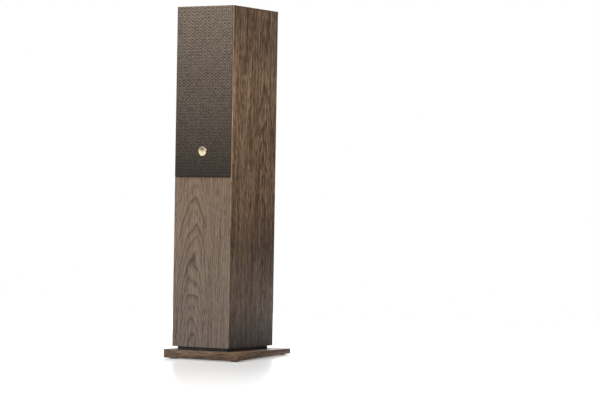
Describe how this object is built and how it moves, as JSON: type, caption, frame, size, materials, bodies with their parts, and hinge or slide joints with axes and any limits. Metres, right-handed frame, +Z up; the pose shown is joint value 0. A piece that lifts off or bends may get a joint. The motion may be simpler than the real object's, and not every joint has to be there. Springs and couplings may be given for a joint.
{
  "type": "floorstanding speaker",
  "caption": "Slim veneered floorstanding loudspeaker, leaning back on a wedge plinth, with a lift-off cloth grille over dome tweeter and woofers, rear reflex port and binding posts.",
  "frame": {"origin": "on the floor, under the middle of the whole object's box", "axes": "+Z up, the front and its grille towards -Y, +X to the viewer's right when facing the front"},
  "size_m": [0.225, 0.268, 0.9135],
  "materials": {
    "walnut_front": "satin grey-brown walnut veneer, upright grain",
    "walnut_side": "satin walnut veneer, upright grain",
    "walnut_plinth": "satin walnut veneer, grain running along each edge",
    "inner_board": "raw fibreboard",
    "black_paint": "matt black paint on board",
    "black_plastic": "fine-textured black",
    "red_plastic": "red",
    "rubber": "matt black",
    "silk": "coated silk",
    "cone_paper": "pressed, coated pulp",
    "spider_cloth": "resin-treated woven cotton",
    "grille_cloth": "open two-tone basket weave",
    "wadding": "polyester fibre",
    "brass": "circular-brushed",
    "gold_plate": "gold-plated, polished",
    "copper": "enamelled wire",
    "steel": "zinc-plated",
    "dark_steel": "satin black powder coat",
    "ferrite": "sintered, matt"
  },
  "bodies": {
    "root": {"front_baffle": "walnut_front", "side_panel_left": "walnut_side", "side_panel_right": "walnut_side", "top_panel": "walnut_side", "bottom_panel": "walnut_side", "rear_panel": "black_paint", "window_brace": "inner_board", "damping_wadding": "wadding", "plinth_spacer": "black_paint", "plinth": "walnut_plinth", "foot_front_left": "rubber", "foot_front_right": "rubber", "foot_rear_left": "rubber", "foot_rear_right": "rubber", "plinth_bolt_front_left": "dark_steel", "plinth_bolt_front_right": "dark_steel", "plinth_bolt_rear_left": "dark_steel", "plinth_bolt_rear_right": "dark_steel", "grille_magnet_lower_left": "steel", "grille_magnet_lower_right": "steel", "grille_magnet_upper_left": "steel", "grille_magnet_upper_right": "steel", "woofer_lower_basket": "dark_steel", "woofer_lower_surround": "rubber", "woofer_lower_spider": "spider_cloth", "woofer_lower_top_plate": "steel", "woofer_lower_magnet": "ferrite", "woofer_lower_yoke": "steel", "woofer_upper_basket": "dark_steel", "woofer_upper_surround": "rubber", "woofer_upper_spider": "spider_cloth", "woofer_upper_top_plate": "steel", "woofer_upper_magnet": "ferrite", "woofer_upper_yoke": "steel", "tweeter_faceplate": "black_plastic", "tweeter_surround": "silk", "tweeter_magnet": "steel", "tweeter_yoke": "dark_steel", "port_tube": "black_plastic", "terminal_cup": "black_plastic", "binding_post_red": "gold_plate", "binding_post_black": "gold_plate", "crossover_board": "inner_board", "crossover_inductor": "copper", "crossover_capacitor": "red_plastic"},
    "grille": {"grille_frame": "dark_steel", "grille_cloth": "grille_cloth", "grille_badge": "brass"},
    "woofer_lower_moving": {"woofer_lower_cone": "cone_paper", "woofer_lower_dust_cap": "cone_paper", "woofer_lower_voice_coil": "copper"},
    "woofer_upper_moving": {"woofer_upper_cone": "cone_paper", "woofer_upper_dust_cap": "cone_paper", "woofer_upper_voice_coil": "copper"},
    "tweeter_moving": {"tweeter_dome": "silk", "tweeter_voice_coil": "copper"},
    "washer_red": {"post_washer_red": "gold_plate"},
    "cap_red": {"post_cap_red": "red_plastic"},
    "washer_black": {"post_washer_black": "gold_plate"},
    "cap_black": {"post_cap_black": "black_plastic"}
  },
  "joints": [
    {"name": "grille_lift_off", "type": "slide", "parent": "root", "child": "grille", "axis": [0, -0.9994, 0.0336], "range_m": [0, 0.08]},
    {"name": "woofer_lower_excursion", "type": "slide", "parent": "root", "child": "woofer_lower_moving", "axis": [0, -0.9994, 0.0336], "range_m": [-0.0045, 0.0045], "stiffness_N_per_m": 1200, "deforming": ["woofer_lower_surround", "woofer_lower_spider"]},
    {"name": "woofer_upper_excursion", "type": "slide", "parent": "root", "child": "woofer_upper_moving", "axis": [0, -0.9994, 0.0336], "range_m": [-0.0045, 0.0045], "stiffness_N_per_m": 1200, "deforming": ["woofer_upper_surround", "woofer_upper_spider"]},
    {"name": "tweeter_excursion", "type": "slide", "parent": "root", "child": "tweeter_moving", "axis": [0, -0.9994, 0.0336], "range_m": [-0.0004, 0.0004], "stiffness_N_per_m": 3000, "deforming": ["tweeter_surround"]},
    {"name": "post_red_travel", "type": "slide", "parent": "root", "child": "washer_red", "axis": [0, 0.9994, -0.0336], "range_m": [0, 0.00322]},
    {"name": "post_red_unscrew", "type": "hinge", "parent": "washer_red", "child": "cap_red", "pos_m": [0.014, 0.07654, 0.12699], "axis": [0, 0.9994, -0.0336], "range_deg": [0, 1440]},
    {"name": "post_black_travel", "type": "slide", "parent": "root", "child": "washer_black", "axis": [0, 0.9994, -0.0336], "range_m": [0, 0.00322]},
    {"name": "post_black_unscrew", "type": "hinge", "parent": "washer_black", "child": "cap_black", "pos_m": [-0.014, 0.07654, 0.12699], "axis": [0, 0.9994, -0.0336], "range_deg": [0, 1440]}
  ],
  "couplings": [
    {"joint": "post_red_travel", "follows": "post_red_unscrew", "m_per_rad": 0.00012732},
    {"joint": "post_black_travel", "follows": "post_black_unscrew", "m_per_rad": 0.00012732}
  ]
}
